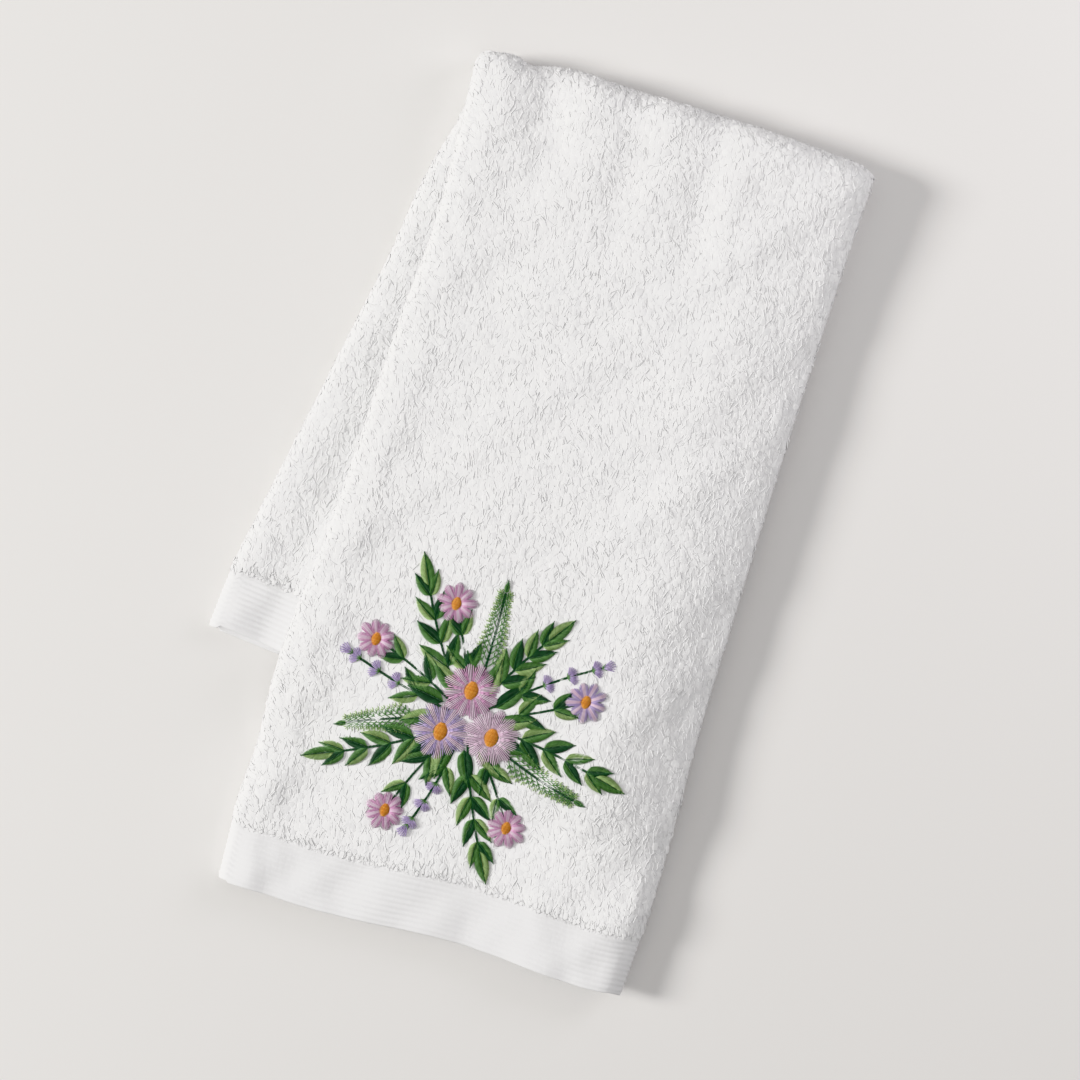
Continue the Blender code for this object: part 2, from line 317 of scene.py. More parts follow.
def mesh_piece(
    name: str,
    points: Array,
    corners: Array,
    maps: dict[str, Array],
    tone: Array | None = None,
) -> bpy.types.Object:
    """Puts whole arrays into a mesh object that sits at the origin.

    Args:
        name: The piece's name.
        points: n x 3 places in millimetres in the top view's frame.
        corners: Faces as rows of point numbers, all with the same number of corners.
        maps: UV maps by name, one row for each corner.
        tone: A value from 0 to 1 for each point, kept as the attribute "tone".

    Returns:
        The linked object, shaded smooth.
    """
    mesh = bpy.data.meshes.new(name)
    mesh.vertices.add(len(points))
    mesh.vertices.foreach_set("co", ((points + (FRAME_X, FRAME_Y, 0)) * MM).ravel())
    mesh.loops.add(corners.size)
    mesh.loops.foreach_set("vertex_index", corners.ravel().astype(np.int32))
    mesh.polygons.add(len(corners))
    mesh.polygons.foreach_set("loop_start", np.arange(0, corners.size, corners.shape[1], dtype=np.int32))
    mesh.update(calc_edges=True)
    for label, places in maps.items():
        layer = mesh.uv_layers.new(name=label)
        layer.data.foreach_set("uv", places.astype(np.float32).ravel())
    if tone is not None:
        mesh.attributes.new("tone", "FLOAT", "POINT").data.foreach_set("value", tone.astype(np.float32))
    mesh.shade_smooth()
    piece = bpy.data.objects.new(name, mesh)
    bpy.context.scene.collection.objects.link(piece)
    return piece


def strands(
    name: str,
    spine: Array,
    up: Array,
    radius: Array,
    tone: Array,
    squash: float = 1.0,
    sides: int = 3,
    soft: float = 0.0,
) -> bpy.types.Object:
    """Many short closed threads in one mesh: rings of points round each spine, with a point at each end.

    A ring lies across the spine: its points are the spine's point plus the radius times a turn
    between the sideways and the upward direction. Each thread has its own cell of the bake map.

    Args:
        name: The piece's name.
        spine: n x steps x 3 points, the first and last of which are the tips.
        up: n x 3 directions away from the cloth.
        radius: n x (steps - 2) ring radii.
        tone: n values from 0 to 1.
        squash: Height of a ring over its width.
        sides: Points in a ring.
        soft: How far the shading leans to the upward direction, as light that soaks into cotton does.

    Returns:
        The linked object.
    """
    count, steps, _ = spine.shape
    rings = steps - 2
    tangent = unit(np.gradient(spine, axis=1))[:, 1:-1]
    side = unit(np.cross(tangent, up[:, None, :]))
    over = np.cross(side, tangent)
    turn = (2 * pi * (np.arange(sides) + 0.75) / sides)[:, None]
    round_it = np.cos(turn) * side[:, :, None, :] + squash * np.sin(turn) * over[:, :, None, :]
    ring = spine[:, 1:-1, None, :] + radius[:, :, None, None] * round_it
    points = np.concatenate([spine[:, :1], ring.reshape(count, rings * sides, 3), spine[:, -1:]], axis=1)
    points[..., 2] = np.maximum(points[..., 2], FLOOR_GAP)
    faces, places = [], []
    last = rings * sides + 1
    for k in range(sides):
        k2, low, high = (k + 1) % sides, k / sides, (k + 1) / sides
        faces.append((0, 1 + k, 1 + k2))
        places.append(((0.0, (low + high) / 2), (1 / (rings + 1), low), (1 / (rings + 1), high)))
        for j in range(rings - 1):
            a, b = 1 + j * sides + k, 1 + j * sides + k2
            near, far = (j + 1) / (rings + 1), (j + 2) / (rings + 1)
            faces += [(a, a + sides, b), (b, a + sides, b + sides)]
            places += [((near, low), (far, low), (near, high)), ((near, high), (far, low), (far, high))]
        faces.append((last, last - sides + k2, last - sides + k))
        places.append(((1.0, (low + high) / 2), (rings / (rings + 1), high), (rings / (rings + 1), low)))
    corners = np.array(faces)[None] + (np.arange(count) * (last + 1))[:, None, None]
    cells = int(np.ceil(np.sqrt(count)))
    cell = np.stack([np.arange(count) % cells, np.arange(count) // cells], axis=1)
    spread = (np.array(places)[None] * CELL_FILL + CELL_EDGE + cell[:, None, None, :]) / cells
    maps = {"OFBake": spread.reshape(-1, 2)}
    tones = np.repeat(tone, last + 1)
    piece = mesh_piece(name, points.reshape(-1, 3), corners.reshape(-1, 3), maps, tones)
    if soft:
        own = np.empty(points.size, np.float32)
        piece.data.vertex_normals.foreach_get("vector", own)
        own, outward = own.reshape(-1, 3), np.repeat(up, last + 1, axis=0)
        facing = (own * outward).sum(axis=1, keepdims=True)
        share = soft * np.clip(0.8 + 1.7 * facing, 0, 1) * ease((outward[:, 2:] - 0.1) / 0.5)
        piece.data.normals_split_custom_set_from_vertices(unit(own + share * (outward - own)).tolist())
    return piece


@dataclass
class ClothMap:
    """The folded cloth as a fine grid that can be read at any place of the opened-out sheet."""

    folds: Folds
    arc_steps: int = 12
    turn_steps: int = 18
    band: float = 20.6  # depth of a woven hem band
    band_fade: float = 3.2  # over which the ground swells from the band to the pile
    pile_half: float = 1.15  # half the ground's thickness under the pile
    rib_half: float = 0.72  # the same in a band, with the ribs' height and pitch
    rib_swell: float = 0.16
    rib_pitch: float = 2.06
    hem_thin: float = 0.45  # share of it that the very edge loses, and how far in
    hem_reach: float = 0.9
    # soft unevenness of the pile: height, wavelengths over a turn along x and y, start
    mottling: tuple = (
        (0.07, 2.1, 4.3, 0.4), (0.07, -2.7, 3.1, 1.9), (0.16, 3.9, -5.2, 2.6), (0.04, 1.6, 9.0, 4.4),
        (0.2, -6.1, 7.7, 5.0),
    )
    points: Array = field(init=False)
    normals: Array = field(init=False)
    u: Array = field(init=False)
    v: Array = field(init=False)
    spots: dict[str, float] = field(init=False)

    def __post_init__(self) -> None:
        """Works out the grid, its outward directions and its flat distances."""
        strip, depth, other, share, reach = self._columns()
        self.points = self._points(strip, depth, other, share, reach)
        x, y = self.points[..., 0], self.points[..., 1]
        swells = sum(size * np.sin(x / wide + y / long + shift) for size, wide, long, shift in self.mottling)
        self.points[..., 2] += np.where(self.points[..., 2] > self.folds.cloth, swells, 0)
        across, along = np.gradient(self.points, axis=0), np.gradient(self.points, axis=1)
        self.normals = unit(-np.cross(across, along))
        step_u = np.linalg.norm(np.diff(self.points, axis=0), axis=2).mean(axis=1)
        step_v = np.linalg.norm(np.diff(self.points, axis=1), axis=2)[10:-10].mean(axis=0)
        self.u = np.concatenate([[0], np.cumsum(step_u)])
        self.v = np.concatenate([[0], np.cumsum(step_v)])
        face = np.flatnonzero((depth == Depth.FACE) & (other == Depth.FACE))
        wrap = np.flatnonzero((depth == Depth.WRAP) & (other == Depth.WRAP))
        front = len(self._front_along())
        self.spots = {
            "right": self.u[face[0]], "left": self.u[face[-1]], "wrap": self.u[wrap[0]],
            "width": self.u[-1], "length": self.v[-1],
            "fold": self.v[front - 1], "back": self.v[front + self.turn_steps - 2],
        }
        LOG.info("opened out: %.0f x %.0f mm", self.u[-1], self.v[-1])

    def _columns(self) -> tuple[Array, ...]:
        """Columns from the tuck's edge to the wrap's: strip, two depths, share of the second, reach."""
        f = self.folds
        turn = np.linspace(0, pi, self.arc_steps + 1)[1:-1]
        share, bend = 0.5 - 0.5 * np.cos(turn), np.sin(turn)
        right, left = f.strip - f.right_at, f.left_at
        runs = (
            (stations((f.tuck_edge, 2), (f.tuck_edge + 14, 4), (125, 3), (144, 4), (right, 0)), 1, 1, 0, 0),
            (np.full(len(turn), right), 1, 2, share, f.right_round * bend),
            (stations((right, 5), (138, 4), (125, 5), (112, 14), (46, 9), (20, 9), (left, 0)), 2, 2, 0, 0),
            (np.full(len(turn), left), 2, 0, share, -f.left_round * bend),
            (stations((left, 7), (20, 5), (44, 7), (112, 2), (f.wrap_edge, 0)), 0, 0, 0, 0),
        )
        fields = zip(*(np.broadcast_arrays(*run) for run in runs))
        return tuple(np.concatenate(part) for part in fields)

    def _front_along(self) -> Array:
        """Rows of the front flap, 0 at the fold and 1 at the hem, close together in the woven band."""
        return stations((0, 16), (0.2, 22), (0.66, 22), (0.87, 5), (0.934, 48), (1, 0))

    def _back_along(self) -> Array:
        """Rows of the back flap, 0 at the fold and 1 at the hem."""
        return stations((0, 10), (0.16, 24), (0.908, 48), (1, 0))

    def _points(self, strip: Array, depth: Array, other: Array, share: Array, reach: Array) -> Array:
        """Middle points: layers in each flap, joined over the top fold by half rounds one in another."""
        f = self.folds
        strip, depth, other, share, reach = (part[:, None] for part in (strip, depth, other, share, reach))
        depth, other = depth.astype(int), other.astype(int)

        def layer(heights: Array, first: Array, second: Array) -> Array:
            """Height between two layers by the column's share."""
            c, r = np.indices(heights.shape[1:])
            return heights[first, c, r] * (1 - share) + heights[second, c, r] * share

        along = self._front_along()[None]
        hem_y = curve(np.array(f.front_hem), strip) + f.front_overhang * (1 - (depth + other) / 4)
        y = f.fold_y + along * (hem_y - f.fold_y)
        x = f.front_x(strip, y)
        rise = layer(f.layer_heights(x, y), 3 + depth, 3 + other)
        rise = rise - share * f.right_slope * np.maximum(reach, 0)
        front = np.stack([x + reach, y, rise], axis=2)
        along = self._back_along()[None]
        x, y = f.back_xy(strip, along)
        rise = layer(f.layer_heights(x, y), 2 - depth, 2 - other)
        longer = f.back_overhang * (depth + other) / 4 * (1 - strip / f.strip)
        back = np.stack([x + reach, y - longer * along, rise], axis=2)
        at_fold = f.layer_heights(f.front_x(strip, np.array([[f.fold_y]])), np.full_like(strip, f.fold_y))
        round_z = (front[:, :1, 2] - back[:, :1, 2]) / (at_fold[5] - at_fold[0])
        round_y = round_z * (f.fold_round + curve(np.array(f.fold_line), strip) - f.cloth / 2)
        turn = np.linspace(0, pi, self.turn_steps + 1)[None, 1:-1]
        fold = front[:, :1] + (0.5 - 0.5 * np.cos(turn))[..., None] * (back[:, :1] - front[:, :1])
        fold[..., 1] += round_y * np.sin(turn) ** f.fold_full
        return np.concatenate([front[:, ::-1], fold, back], axis=1)

    def half_thickness(self, v: Array) -> Array:
        """Half the ground's thickness: even under the pile, and ribs across in the two bands."""
        inward = self.from_hem(v)
        ribs = self.rib_half + self.rib_swell * np.cos(2 * pi * inward / self.rib_pitch)
        edge = 1 - self.hem_thin * (1 - ease(inward / self.hem_reach))
        return ribs * edge + (self.pile_half - ribs) * self.piled(v)

    def from_hem(self, v: Array) -> Array:
        """Distance in from the nearer of the two hems."""
        return np.minimum(v, self.v[-1] - v)

    def piled(self, v: Array) -> Array:
        """0 in the two bands and 1 under the pile."""
        return ease((self.from_hem(v) - self.band) / self.band_fade)

    def at(self, u: Array, v: Array) -> tuple[Array, ...]:
        """Reads the surface between its grid points, in proportion to the four round each place.

        Args:
            u: Distances across the opened-out cloth.
            v: Distances along it.

        Returns:
            Middle points, outward directions, and directions across and along the cloth.
        """
        i = np.interp(u, self.u, np.arange(len(self.u)))
        j = np.interp(v, self.v, np.arange(len(self.v)))
        i0 = np.clip(i.astype(int), 0, len(self.u) - 2)
        j0 = np.clip(j.astype(int), 0, len(self.v) - 2)
        a, b = (i - i0)[..., None], (j - j0)[..., None]

        def blend(grid: Array) -> Array:
            """The weighted mean of the four corners."""
            low = grid[i0, j0] * (1 - a) + grid[i0 + 1, j0] * a
            high = grid[i0, j0 + 1] * (1 - a) + grid[i0 + 1, j0 + 1] * a
            return low * (1 - b) + high * b

        across = unit(self.points[i0 + 1, j0] - self.points[i0, j0])
        along = unit(self.points[i0, j0 + 1] - self.points[i0, j0])
        return blend(self.points), unit(blend(self.normals)), across, along


def feed(tree: bpy.types.NodeTree, target: bpy.types.Node, inputs: dict) -> None:
    """Sets a node's inputs to values, or links them to the sockets that are given for them."""
    for socket, value in inputs.items():
        if isinstance(value, bpy.types.NodeSocket):
            tree.links.new(value, target.inputs[socket])
        else:
            target.inputs[socket].default_value = value


def node(tree: bpy.types.NodeTree, kind: str, inputs: dict, **settings: object) -> bpy.types.NodeOutputs:
    """Adds a shader node with its settings and inputs, and returns its outputs."""
    made = tree.nodes.new("ShaderNode" + kind)
    for name, value in settings.items():
        setattr(made, name, value)
    feed(tree, made, inputs)
    return made.outputs


def fibre_group(woven: bool) -> bpy.types.NodeTree:
    """Shared effect: fine cotton, as a tone and a bump normal from noise.

    Args:
        woven: True for yarns drawn out along the cloth's flat map, False for loose fibre.

    Returns:
        The node group, made at its first use.
    """
    name = "woven_yarns" if woven else "cotton_fibre"
    group = bpy.data.node_groups.get(name)
    if group:
        return group
    group = bpy.data.node_groups.new(name, "ShaderNodeTree")
    for way, label, kind in (
        ("INPUT", "Scale", "Float"), ("INPUT", "Depth", "Float"),
        ("OUTPUT", "Tone", "Float"), ("OUTPUT", "Normal", "Vector"),
    ):
        group.interface.new_socket(label, in_out=way, socket_type="NodeSocket" + kind)
    given = group.nodes.new("NodeGroupInput").outputs
    if woven:
        flat = node(group, "UVMap", {}, uv_map="flat")["UV"]
        place = node(group, "Mapping", {"Vector": flat, "Scale": (1.0, 0.22, 1.0)})["Vector"]
    else:
        place = node(group, "TexCoord", {})["Object"]
    rough, strength = (0.6, 0.7) if woven else (0.65, 0.6)
    sizes = {"Scale": given["Scale"], "Detail": 3.0, "Roughness": rough}
    tone = node(group, "TexNoise", {"Vector": place, **sizes})["Fac"]
    normal = node(group, "Bump", {"Strength": strength, "Distance": given["Depth"], "Height": tone})
    feed(group, group.nodes.new("NodeGroupOutput"), {"Tone": tone, "Normal": normal["Normal"]})
    return group


@dataclass(frozen=True)
class Finish:
    """A cotton or thread finish: two tones mixed by the piece's tone attribute, which in the loops carries
    painted light and shade, and by fine fibre.
    """

    name: str
    dark: tuple[float, float, float]
    light: tuple[float, float, float]
    roughness: float = 0.9
    fibre_scale: float = 1500.0
    fibre_depth: float = 0.0001
    sheen: float = 0.0
    woven: bool = False
    fibre_share: float = 0.45

    def build(self) -> bpy.types.Material:
        """Makes the node material, or returns it if it is there already."""
        made = bpy.data.materials.get(self.name)
        if made:
            return made
        material = bpy.data.materials.new(self.name)
        material.use_nodes = True
        tree = material.node_tree
        sizes = {"Scale": self.fibre_scale, "Depth": self.fibre_depth}
        fibre = node(tree, "Group", sizes, node_tree=fibre_group(self.woven))
        tone = node(tree, "Attribute", {}, attribute_name="tone")["Fac"]
        terms = {0: fibre["Tone"], 1: self.fibre_share, 2: tone}
        both = node(tree, "Math", terms, operation="MULTIPLY_ADD", use_clamp=True)[0]
        tones = {"Factor": both, "A": (*self.dark, 1), "B": (*self.light, 1)}
        feed(tree, tree.nodes["Principled BSDF"], {
            "Base Color": node(tree, "Mix", tones, data_type="RGBA")["Result"],
            "Roughness": self.roughness, "Normal": fibre["Normal"],
            "Sheen Weight": self.sheen, "Sheen Roughness": 0.5,
        })
        return material


@dataclass
class BaseCloth:
    """The ground of the towel: a closed sheet that swells into ribs in the two hem bands."""

    cloth: ClothMap
    finish: Finish

    def build(self) -> bpy.types.Object:
        """Two surfaces, the middle plus and minus half the thickness, closed by a rim."""
        grid, v = self.cloth.points, self.cloth.v
        columns, rows = grid.shape[:2]
        thick = self.cloth.half_thickness(v)[None, :, None]
        outer, inner = grid + self.cloth.normals * thick, grid - self.cloth.normals * thick
        points = np.concatenate([outer.reshape(-1, 3), inner.reshape(-1, 3)])
        number = np.arange(columns * rows).reshape(columns, rows)
        a, b, c, d = number[:-1, :-1], number[1:, :-1], number[1:, 1:], number[:-1, 1:]
        top = np.stack([a, d, c, b], axis=-1).reshape(-1, 4)
        under = np.stack([a, b, c, d], axis=-1).reshape(-1, 4) + number.size
        rim = np.concatenate([
            np.stack([run[:-1], run[1:], run[1:] + number.size, run[:-1] + number.size], axis=1)
            for run in (number[:, 0], number[::-1, -1], number[0, ::-1], number[-1, :])
        ])
        corners = np.concatenate([top, under, rim])
        flat = np.stack(np.meshgrid(self.cloth.u, v, indexing="ij"), axis=-1).reshape(-1, 2)
        flat = np.concatenate([flat, flat])
        # the bake map: the outer side, the inner side next to it, and the rim in a narrow strip
        bake = flat / (self.cloth.u[-1], v[-1]) * (0.47, 0.99) + 0.005
        bake[number.size:, 0] += 0.485
        bake = bake[corners]
        run = np.arange(len(rim))[:, None] / len(rim)
        step = 1 / len(rim)
        low, high = np.full_like(run, 0.975), np.full_like(run, 0.995)
        way = np.hstack([run, run + step, run + step, run])
        bake[-len(rim):] = np.stack([np.hstack([low, low, high, high]), way], axis=2)
        tone = np.tile(self.cloth.piled(v), 2 * columns)
        maps = {"OFBake": bake.reshape(-1, 2), "flat": flat[corners].reshape(-1, 2) * MM}
        piece = mesh_piece("terry_ground", points, corners, maps, tone)
        piece.data.materials.append(self.finish.build())
        return piece


@dataclass(frozen=True)
class Patch:
    """A stretch of the cloth's outer side that carries loops, in places of the opened-out sheet."""

    name: str
    u: tuple[float, float]
    v: tuple[float, float]
    seed: int
    step_u: float = 1.75
    step_v: float = 2.3
    rise: float = 0.2


@dataclass
class LoopPile:
    """Cotton loops: each an arched closed thread that lies along the cloth with its own lean."""

    cloth: ClothMap
    finish: Finish
    covered: "Posy"
    length: float = 3.9
    girth: float = 1.15
    squash: float = 0.2
    soft: float = 0.85
    sides: int = 5
    sink: float = 0.25
    lean: float = 14.0  # degrees, and how much more over the left fold
    fold_lean: float = 48.0
    sway: float = 0.33
    bow: float = 0.03
    edge_growth: float = 6.0
    jitter: tuple[float, float] = (0.22, 0.24)  # shares of a step across and along the cloth
    lengths: tuple[float, float] = (0.72, 1.25)  # least and most, as shares of the length
    girths: tuple[float, float] = (0.8, 1.15)
    # a loop's four points: how far they are along it, to its side, and over its base
    ahead_at: tuple = (-0.5, -0.24, 0.26, 0.5)
    aside_at: tuple = (-0.5, 1.0, 0.8, -0.7)
    over_at: tuple = (-0.6, 1.0, 0.92, -0.6)

    @staticmethod
    def _unevenness(u: Array, v: Array) -> tuple[Array, Array]:
        """Two patterns of slow waves: broad drifts of the pile, and clumps of a few loops; both also paint
        light and shade into the loops' tone.
        """
        drift = 0.35 * np.sin(u / 7.3 + 2.1 * np.sin(v / 11.0)) + 0.3 * np.sin(v / 5.7 + u / 9.1)
        clump = np.sin(u / 1.1 + 2.3 * np.sin(v / 2.9)) * np.sin(v / 1.7 + 1.9 * np.sin(u / 2.4))
        return drift, clump

    def build(self, patch: Patch) -> bpy.types.Object:
        """Stands loops on a jittered grid of places and bends each over an arch of four points.

        Args:
            patch: The stretch of cloth and the size of its loops.

        Returns:
            One mesh with all loops of the patch.
        """
        draw = np.random.default_rng(patch.seed)
        steps = np.arange(*patch.u, patch.step_u), np.arange(*patch.v, patch.step_v)
        u, v = np.meshgrid(*steps, indexing="ij")
        v[::2] += patch.step_v / 2
        u = (u + draw.normal(0, self.jitter[0], u.shape) * patch.step_u).ravel()
        v = np.clip((v + draw.normal(0, self.jitter[1], v.shape) * patch.step_v).ravel(), *patch.v)
        centre, up, across, along = self.cloth.at(u, v)
        left, fold = self.cloth.spots["left"], self.cloth.spots["fold"]
        keep = ~((up[:, 2] > 0.5) & (v < fold) & self.covered.covers(centre))
        u, v, centre, up, across, along = (part[keep] for part in (u, v, centre, up, across, along))
        count = len(u)
        drift, clump = self._unevenness(u, v)
        lean = radians(self.lean) + 0.3 * drift + draw.normal(0, self.sway, count)
        lean = lean + bell(u - left - 3, 5.5) * radians(self.fold_lean)
        heading = np.cos(lean)[:, None] * along + np.sin(lean)[:, None] * across
        inward = self.cloth.from_hem(v) - self.cloth.band
        grown = 0.5 + 0.5 * ease(inward / self.edge_growth)
        length = self.length * grown * draw.uniform(*self.lengths, count)
        uneven = 0.16 + 0.5 * bell(v - fold - 12, 9)
        rise = patch.rise * (0.9 + 0.2 * drift + draw.normal(0, uneven, count))
        girth = self.girth * grown * draw.uniform(*self.girths, count)
        base = self.cloth.half_thickness(v) - self.sink + 0.05 * clump + draw.normal(0, 0.06, count)
        aside = np.cross(up, heading)
        bow = np.array(self.aside_at) * draw.normal(0, self.bow, (count, 1)) * length[:, None]
        spine = (
            centre[:, None]
            + heading[:, None] * (np.array(self.ahead_at) * length[:, None])[..., None]
            + aside[:, None] * bow[..., None]
            + up[:, None] * (base[:, None] + np.array(self.over_at) * rise[:, None])[..., None]
        )
        # Painted light and shade: a loop is lighter where the drifts and clumps lift it and darker where
        # they sink, in place of the shading of the pile's unevenness; the random part is a tone from loop to
        # loop that partly stands in for the soft shading of single loops.
        tone = np.clip(0.5 + 0.35 * drift + 0.25 * clump + draw.normal(0, 0.3, count), 0, 1)
        radius = np.stack([girth, girth * 0.95], axis=1)
        piece = strands(patch.name, spine, up, radius, tone, self.squash, self.sides, self.soft)
        piece.data.materials.append(self.finish.build())
        return piece


class Thread(Enum):
    """Embroidery threads: name, dark tone, light tone."""

    DEEP_GREEN = ("thread_deep_green", (0.012, 0.055, 0.022), (0.035, 0.13, 0.05))
    LEAF_GREEN = ("thread_leaf_green", (0.08, 0.2, 0.065), (0.16, 0.34, 0.11))
    PALE_GREEN = ("thread_pale_green", (0.27, 0.43, 0.16), (0.43, 0.58, 0.26))
    PINK = ("thread_pink", (0.55, 0.27, 0.47), (0.78, 0.48, 0.68))
    BLUSH = ("thread_blush", (0.72, 0.5, 0.66), (0.86, 0.72, 0.82))
    LILAC = ("thread_lilac", (0.38, 0.29, 0.55), (0.6, 0.5, 0.74))
    GOLD = ("thread_gold", (0.75, 0.27, 0.03), (0.9, 0.46, 0.09))


class Branch(Enum):
    """What a stem of the posy carries."""

    LEAVES = "leaves"
    DAISY = "daisy"
    BELLS = "bells"
    FERN = "fern"


@dataclass
class Posy:
    """A generic stitched posy: daisies in the middle, and leaves, bells and ferns all round them.

    Stitches are kept as pairs of points in the top view with a tier, the height of their motif
    over the pile, and are laid on the front flap's face when they are built.
    """

    folds: Folds
    centre: tuple[float, float] = (-6.0, -73.0)
    stem_start: float = 8.0  # from the centre
    daisy_start: float = 11.2
    stitch_pitch: float = 0.5
    girth: float = 0.27
    bed: float = 1.35  # lowest tier's height over the cloth's middle, and a tier's own height
    tier_height: float = 0.55
    seed: int = 7
    stitches: dict[Thread, list[Array]] = field(default_factory=dict)
    # heading in degrees, length, bend, what it carries
    branches: tuple = (
        (88, 50, 0.05, Branch.FERN), (66, 42, -0.10, Branch.LEAVES), (44, 54, -0.12, Branch.BELLS),
        (21, 45, 0.10, Branch.DAISY), (-2, 52, -0.10, Branch.LEAVES), (-27, 50, 0.14, Branch.FERN),
        (-50, 44, -0.08, Branch.DAISY), (-73, 50, 0.10, Branch.LEAVES), (-97, 46, -0.12, Branch.BELLS),
        (-120, 47, 0.10, Branch.DAISY), (-143, 52, -0.12, Branch.LEAVES), (-166, 46, 0.1, Branch.FERN),
        (171, 50, -0.08, Branch.BELLS), (150, 46, 0.12, Branch.DAISY), (129, 52, -0.12, Branch.LEAVES),
        (108, 44, 0.10, Branch.DAISY),
    )

    def __post_init__(self) -> None:
        """Plans every stitch of the posy."""
        self._draw = np.random.default_rng(self.seed)
        for heading, length, bend, kind in self.branches:
            self._branch(heading, length, bend, kind)
        for turn, thread in ((100, Thread.PINK), (220, Thread.LILAC), (340, Thread.BLUSH)):
            at = self._step(np.array(self.centre), turn, self.daisy_start)
            self._daisy(at, 12.0, 12, thread, 1.0)
        self._fill()

    def _add(self, thread: Thread, start: Array, end: Array, tier: float) -> None:
        """Keeps stitches as rows of start x, y, end x, y and tier."""
        rows = np.column_stack([start, end, np.full(len(start), tier)])
        self.stitches.setdefault(thread, []).append(rows)

    @staticmethod
    def _step(start: Array, heading: float, distance: float) -> Array:
        """The point at a distance from another in a heading in degrees."""
        return start + distance * np.array([cos(radians(heading)), sin(radians(heading))])

    @staticmethod
    def _rib(base: Array, heading: float, length: float, bend: float, t: Array) -> tuple:
        """A bent line: straight out, plus a sideways share that grows as the square of the way."""
        ahead = np.array([cos(radians(heading)), sin(radians(heading))])
        aside = np.array([-ahead[1], ahead[0]])
        line = base + length * (t[:, None] * ahead + bend * t[:, None] ** 2 * aside)
        way = unit(ahead + 2 * bend * t[:, None] * aside)
        return line, np.stack([-way[:, 1], way[:, 0]], axis=1)

    def _leaf(
        self, base: Array, heading: float, length: float, bend: float, tones: tuple, tier: float
    ) -> None:
        """Satin stitches from the rib to the margin, which is a sine of the way along the leaf."""
        t = np.arange(0.03, 0.97, self.stitch_pitch / length)
        far = np.minimum(t + 0.2, 1.0)
        rib, _ = self._rib(base, heading, length, bend, t)
        ahead, aside = self._rib(base, heading, length, bend, far)
        width = length * 0.21 * np.sin(pi * far**0.9) ** 0.8
        for sign, tone in zip((1, -1), tones):
            margin = ahead + sign * aside * (width + 0.25)[:, None]
            self._add(tone, rib - sign * aside * 0.25, margin, tier)
        way = np.linspace(0, 0.96, max(3, int(length / 2.2)))
        vein, _ = self._rib(base, heading, length, bend, way)
        self._add(Thread.DEEP_GREEN, vein[:-1], vein[1:] + 0.5 * (vein[1:] - vein[:-1]), tier + 0.3)

    def _stem(self, base: Array, heading: float, length: float, bend: float, tier: float) -> None:
        """Slanted stitches that overlap along a bent line, two side by side."""
        t = np.arange(0, 1, 1.3 / length)
        line, aside = self._rib(base, heading, length, bend, t)
        ahead, _ = self._rib(base, heading, length, bend, np.minimum(t + 2.4 / length, 1))
        for shift in (-0.22, 0.22):
            self._add(Thread.DEEP_GREEN, line + aside * (shift - 0.15), ahead + aside * (shift + 0.15), tier)

    def _daisy(self, at: Array, radius: float, petals: int, thread: Thread, tier: float) -> None:
        """Petals of lengthwise stitches round a gold middle; a petal's tip is a round arch."""
        lanes = np.linspace(-1, 1, 7)
        turn = 2 * pi * np.arange(petals) / petals + self._draw.uniform(0, 1)
        ahead = np.stack([np.cos(turn), np.sin(turn)], axis=1)
        aside = np.stack([-ahead[:, 1], ahead[:, 0]], axis=1)
        inner, half = 0.12 * radius, 0.19 * radius
        size = radius * self._draw.uniform(0.9, 1.06, petals)
        for lane in lanes:
            start = at + ahead * inner + aside * lane * half * 0.5
            end = at + ahead * (size * (1 - 0.16 * lane**2))[:, None] + aside * lane * half
            middle = abs(lane) < 0.4
            tone = Thread.BLUSH if middle and thread is not Thread.BLUSH else thread
            self._add(tone, start, end, tier + 0.1 * (1 - lane**2))
        t = np.linspace(-1, 1, int(1.35 * radius))
        heart = 0.27 * radius * np.sqrt(1 - 0.8 * t**2)
        left = at + np.stack([-heart, 0.27 * radius * t], axis=1)
        right = at + np.stack([heart, 0.27 * radius * t], axis=1)
        self._add(Thread.GOLD, left, right, tier + 0.5)

    def _fan(self, thread: Thread, at: Array, tips: list[tuple[float, float]], tier: float) -> None:
        """Stitches from one place to tips, each with its heading and its distance."""
        ends = np.array([self._step(at, heading, length) for heading, length in tips])
        self._add(thread, np.repeat(at[None], len(ends), axis=0), ends, tier)

    def _bell(self, at: Array, heading: float, length: float, tier: float) -> None:
        """A small bell that fans out from its stalk, held by a green cup."""
        tips = [(heading + turn, length * cos(radians(turn))) for turn in np.linspace(-26, 26, 6)]
        self._fan(Thread.LILAC, at, tips, tier)
        cup = [(heading + turn, length * 0.38) for turn in (-34, 0, 34)]
        self._fan(Thread.LEAF_GREEN, at, cup, tier + 0.2)

    def _frond(self, at: Array, heading: float, length: float) -> None:
        """A side shoot of a fern with three small fans on it, the one at its tip paler."""
        tip = self._step(at, heading, length)
        self._add(Thread.LEAF_GREEN, at[None], tip[None], 0.1)
        for part in (0.45, 0.72, 1.0):
            tone = Thread.PALE_GREEN if part == 1.0 else Thread.LEAF_GREEN
            self._fan(tone, at + (tip - at) * part, [(heading + turn, 1.9) for turn in (-42, 0, 42)], 0.18)

